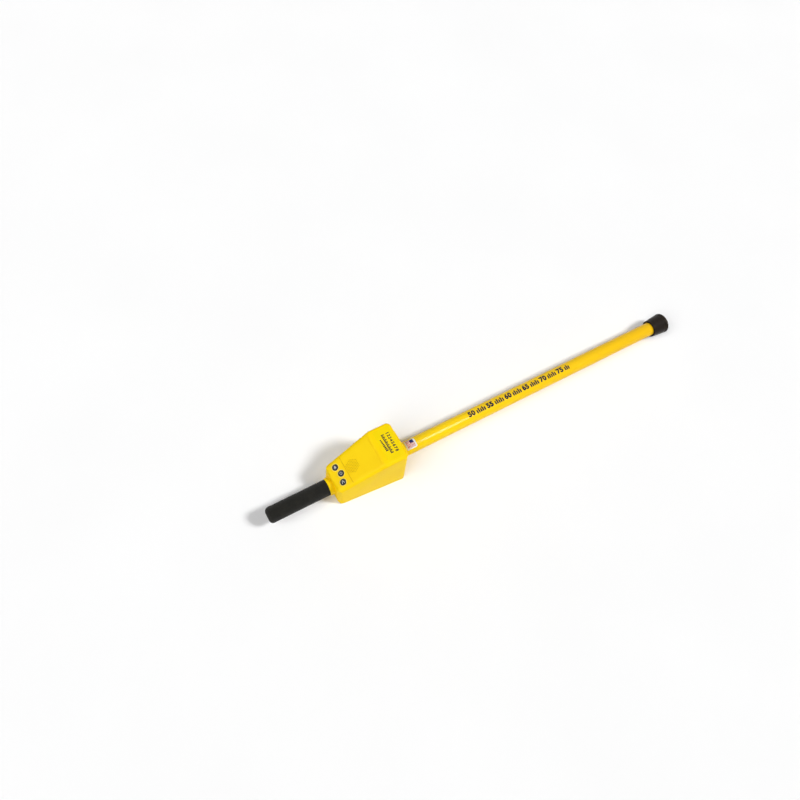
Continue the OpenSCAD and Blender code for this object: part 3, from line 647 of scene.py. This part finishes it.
def button_cap(node, body):
    """A rubber cap with a round shoulder, a shallow dish on top and a flange below the panel."""
    cap_r, cap_h, shoulder = 6.8 * MM, 4.5 * MM, 0.8 * MM
    flange_r, flange_t = 7.8 * MM, 1.2 * MM
    dish, dish_floor_r, dish_r = 0.15 * MM, 0.4 * cap_r, 0.72 * cap_r
    outline = [(0, -dish), (dish_floor_r, -dish), (dish_r, 0)]
    outline += arc((cap_r - shoulder, -shoulder), shoulder, 90, 0)
    outline += [(cap_r, -cap_h), (flange_r, -cap_h), (flange_r, -cap_h - flange_t), (0, -cap_h - flange_t)]
    piece(node + "_cap", turned(outline, cap_place(node), BUTTON_STEPS), KEY, body, node)


def button_rim_highlight(node):
    """A pale ring on the raised rim round a button: a painted highlight where the rim catches the light."""
    hole_r, rim_w, ease, below = 7.1 * MM, 1.4 * MM, 0.15 * MM, 0.4
    inner, outer = hole_r + ease, hole_r + rim_w - ease
    outline = [(inner, -ease), (inner, INK_T / 2), (inner + ease, INK_T)]
    outline += [(outer - ease, INK_T), (outer, INK_T / 2), (outer, -ease)]
    piece(node + "_rim", turned(outline, cap_place(node, below), BUTTON_STEPS), RIM_HIGHLIGHT)


def push_buttons():
    """Three buttons, each in a ring of painted highlight, marked with a loudspeaker, an on-off sign and a
    swelling hairpin.
    """
    for node, body, mark in BUTTONS:
        button_cap(node, body)
        printed(node + "_mark", joined(mark), cap_place(node), ICON, body)
        button_rim_highlight(node)


def score_lines():
    """Painted shade along the floor of the two scored lines across the panel."""
    cap_rise, end_room, side_room, roundness = 1.2, 0.2, 0.05, 0.6
    for name, (ahead, half, width, depth, finish) in SCORES.items():
        reach, side = half - end_room, width / 2 - side_room
        line = round_corners(-reach, ahead - side, reach, ahead + side, roundness * side)
        printed(name, joined([line]), cap_place("button_power", cap_rise + depth), finish)


def grille_hole_shade():
    """Darkened yellow seen a little way down each speaker hole: painted shade of the shaded hole walls."""
    hole_r, pitch, rings, ahead, below = 0.9, 3.6, 4, 28.8, 1.9
    row_pitch = pitch * math.sin(math.radians(60))
    spots = []
    for row in range(-rings, rings + 1):
        across = 2 * rings - abs(row)
        middles = [((k - across / 2) * pitch, ahead + row * row_pitch) for k in range(across + 1)]
        spots += [arc(middle, hole_r, 0, 330, 11) for middle in middles]
    printed("grille_hole_shade", joined(spots), cap_place("button_power", below), HOLE_SHADE)


# Prints on the label and the staff


def label_marks():
    """A generic level scale on the top label: numerals, ticks and a rising row of bars."""
    count, pitch = 8, 6.2
    size, bold, numeral_y = 9.2, 0.035, 8.6
    tick_w, tick_foot, tick_top = 2.0, -4.3, 0.8
    half_w, half_top = 1.6, -1.0
    rail_foot, rail_past = -5.5, 1.5
    bar_x, bar_pitch, bar_w = -12.65, 3.7, 2.7
    bar_foot, bar_top, bar_rise = -12.6, -10.4, 0.5
    middle = Vector(((LABEL_LOW.x + LABEL_HIGH.x) / 2, 0, LABEL_HIGH.z))
    place = facing(middle, READER_RIGHT, TIPWARD)
    xs = [(k - (count - 1) / 2) * pitch for k in range(count)]
    numbers = bmesh.new()
    for k, x in enumerate(xs):
        add_numerals(numbers, str(k + 1), size, (x, numeral_y), bold)
    printed("label_numbers", numbers, place, NAVY)
    ticks = [upright(x, tick_w, tick_foot, tick_top) for x in xs]
    halves = [upright(x + pitch / 2, half_w, tick_foot, half_top) for x in xs[:-1]]
    rail = [bar(xs[0] - rail_past, rail_foot, xs[-1] + rail_past, tick_foot)]
    printed("label_ticks", joined(ticks + halves + rail), place, NAVY)
    bars = [upright(bar_x + bar_pitch * k, bar_w, bar_foot, bar_top + bar_rise * k) for k in range(count)]
    printed("label_bars", joined(bars), place, NAVY)


def staff_scale():
    """A rule along the staff: half centimetres from the grip's end, and a number every five centimetres."""
    start, marks, pitch, group, clear = 500, 56, 5, 10, 3
    foot, tall, short, width = -6.4, 11.8, 8.4, 3.5
    size, bold = 16.6, 0.058
    ticks, numbers = [], bmesh.new()
    for k in range(marks):
        x = start + k * pitch
        beside = k % group
        if beside == 0:
            add_numerals(numbers, str(x // 10), size, (x, foot + tall / 2), bold)
        elif clear <= beside <= group - clear:
            ticks.append(upright(x, width, foot, foot + (short if k % 2 else tall)))
    wrapped("staff_ticks", joined(ticks), NAVY)
    wrapped("staff_numbers", numbers, NAVY)


def staff_sticker():
    """A white sticker round the staff with a plain striped panel and a blue corner."""
    sheet = round_corners(326.5, -12.2, 352.5, 10.6, 3)
    x0, y0, x1, y1 = 331.0, -9.4, 348.6, 8.6
    stripes, corner_share, corner_y = 7, 0.52, 0.4
    stripe_w = (x1 - x0) / (2 * stripes - 1)
    bands = [bar(x0 + 2 * k * stripe_w, y0, x0 + (2 * k + 1) * stripe_w, y1) for k in range(stripes)]
    corner = bar(x0 + corner_share * (x1 - x0), corner_y, x1, y1)
    on_sheet = INK_LIFT + FILM_T
    on_bands = on_sheet + INK_T + INK_LIFT
    wrapped("sticker_base", joined([sheet]), WHITE, thickness=FILM_T)
    wrapped("sticker_stripes", joined(bands), RED, on_sheet)
    wrapped("sticker_corner", joined([corner]), BLUE, on_bands)


# Housing, and the pieces inside


def housing():
    """The housing, its underside and its label, and the battery bay that shows when the door opens."""
    dressed("housing_shell", SKIN)
    dressed("bottom_cover", SKIN, 0.3 * MM)
    dressed("cover_gasket", SEAL)
    dressed("cover_screws", STEEL, 0.15 * MM)
    dressed("label_plate", LABEL, 0.1 * MM)
    dressed("battery_door", SKIN, 0.4 * MM, rings=3, body="door")
    dressed("door_hinge_pin", STEEL, 0.15 * MM)
    dressed("door_screw", STEEL, 0.35 * MM, rings=3, body="door_knob")
    dressed("battery_box", DARK, 0.3 * MM)
    for node in ("battery_left", "battery_right"):
        dressed(node, JACKET, 0.8 * MM, rings=3)


INNER_FINISHES = {
    SEAL: ("tip_seal", "tube_seal", "speaker_gasket"),
    IVORY: ("tip_plug", "board_spacers", "lower_bobbin", "upper_bobbin"),
    BOARD: ("sensor_board", "keypad_board", "main_board"),
    COPPER: ("lower_winding", "upper_winding", "battery_contacts"),
    ALUMINIUM: ("handle_core", "handle_nut"),
    DARK: ("tube_socket", "core_plug", "board_parts", "edge_connector", "tact_switches"),
    PAPER: ("speaker_cone",),
    STEEL: ("keypad_screws", "speaker_frame", "speaker_magnet", "board_screws"),
}


def inner_pieces():
    """Gives each solid inside the housing, the handle and the staff its finish."""
    for finish, nodes in INNER_FINISHES.items():
        for node in nodes:
            materials = frame["nodes"][node].data.materials
            materials.clear()
            materials.append(finish.material)


# Studio

# Each lamp: the direction that it stands in, its strength, its width in degrees and whether gloss shows it
LAMPS = {
    "key": ((0.58, -0.38, 0.72), 0.68, 12, False),
    "front_fill": ((-0.66, -0.12, 0.74), 0.62, 50, True),
}
# A long soft box over the staff, which only gloss shows
STREAK_AT = Vector((0.886, -0.905, 2.712))
STREAK_AIM = Vector((-0.115, 0, AXIS_Z))
STREAK_SIDES = (0.34, 1.4)
STREAK_POWER = 34
SKY = 0.08
FLOOR_SIDE = 14.0
FLOOR_GLOW = 0.03
# Where the tool touches the ground: the housing's rear edge and the boot's foot
REST_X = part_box("bottom_cover")[1].x
FOOT_X = BOOT_HIGH.x - BOOT_RIM_R
FOOT_Z = BOOT_LOW.z
# The photograph's viewpoint
CAMERA_AT = Vector((-0.6179, -0.4546, 1.3800))
CAMERA_AHEAD = Vector((0.29819, 0.36946, -0.88010))
CAMERA_RIGHT = Vector((0.86523, -0.49399, 0.08577))
CAMERA_LENS = 30.17
CAMERA_SENSOR = 36
CAMERA_NEAR = 0.05


def floor():
    """A pale floor that leans to touch the housing and the boot, and keeps the tool's shadow on white."""
    lean = math.atan2(FOOT_Z, FOOT_X - REST_X)
    bm = bmesh.new()
    bmesh.ops.create_grid(bm, x_segments=2, y_segments=2, size=FLOOR_SIDE / 2)
    bm.transform(Matrix.Translation((REST_X, 0, 0)) @ Matrix.Rotation(-lean, 4, "Y"))
    f = Finish("studio_floor", Roughness=0.9, Specular_IOR_Level=0.1, Emission_Strength=FLOOR_GLOW)
    drift = f.rise(f.noise(3, 2), 0.3, 0.7)
    f.give("Base Color", f.mix(drift, paint(246, 246, 246), paint(248, 248, 248)))
    f.give("Emission Color", f.mix(f.looked_at(), grey(0), grey(1)))
    mesh = bpy.data.meshes.new("floor")
    bm.to_mesh(mesh)
    bm.free()
    mesh.materials.append(f.material)
    ground = placed("floor", mesh)


def lights():
    """A faint even sky that looks white, a small lamp on the tip's side and a broad one by the camera."""
    world = bpy.data.worlds.new("studio")
    world.use_nodes = True
    sky = Nodes(world.node_tree)
    sky.feed(sky.tree.nodes["Background"].inputs["Color"], sky.mix(sky.looked_at(), grey(SKY), grey(1)))
    SCENE.world = world
    for name, (stands, strength, width, glossy) in LAMPS.items():
        lamp = bpy.data.lights.new(name, "SUN")
        lamp.energy = strength * math.pi
        lamp.angle = math.radians(width)
        holder = placed(name, lamp)
        holder.rotation_mode = "QUATERNION"
        holder.rotation_quaternion = Vector(stands).to_track_quat("Z", "Y")
        holder.visible_glossy = glossy


def staff_streak():
    """The soft box whose reflection runs along the top of the staff."""
    lamp = bpy.data.lights.new("staff_streak", "AREA")
    lamp.shape = "RECTANGLE"
    lamp.size, lamp.size_y = STREAK_SIDES
    lamp.energy = STREAK_POWER
    holder = placed("staff_streak", lamp)
    back = (STREAK_AT - STREAK_AIM).normalized()
    up = back.cross(TIPWARD).normalized()
    holder.matrix_world = facing(STREAK_AT, up.cross(back), up)
    holder.visible_diffuse = False


def camera():
    """The camera: high on the handle's side, with a slight roll."""
    eye = bpy.data.cameras.new("camera")
    eye.lens = CAMERA_LENS
    eye.sensor_width = CAMERA_SENSOR
    eye.clip_start = CAMERA_NEAR
    holder = placed("camera", eye)
    back = -CAMERA_AHEAD.normalized()
    right = (CAMERA_RIGHT - back * CAMERA_RIGHT.dot(back)).normalized()
    holder.matrix_world = facing(CAMERA_AT, right, back.cross(right))
    SCENE.camera = holder


staff_tube()
tip_boot()
handle_collar()
hand_grip()
push_buttons()
score_lines()
grille_hole_shade()
housing()
label_marks()
staff_scale()
staff_sticker()
inner_pieces()
floor()
lights()
staff_streak()
camera()
SCENE.view_settings.view_transform = "Standard"
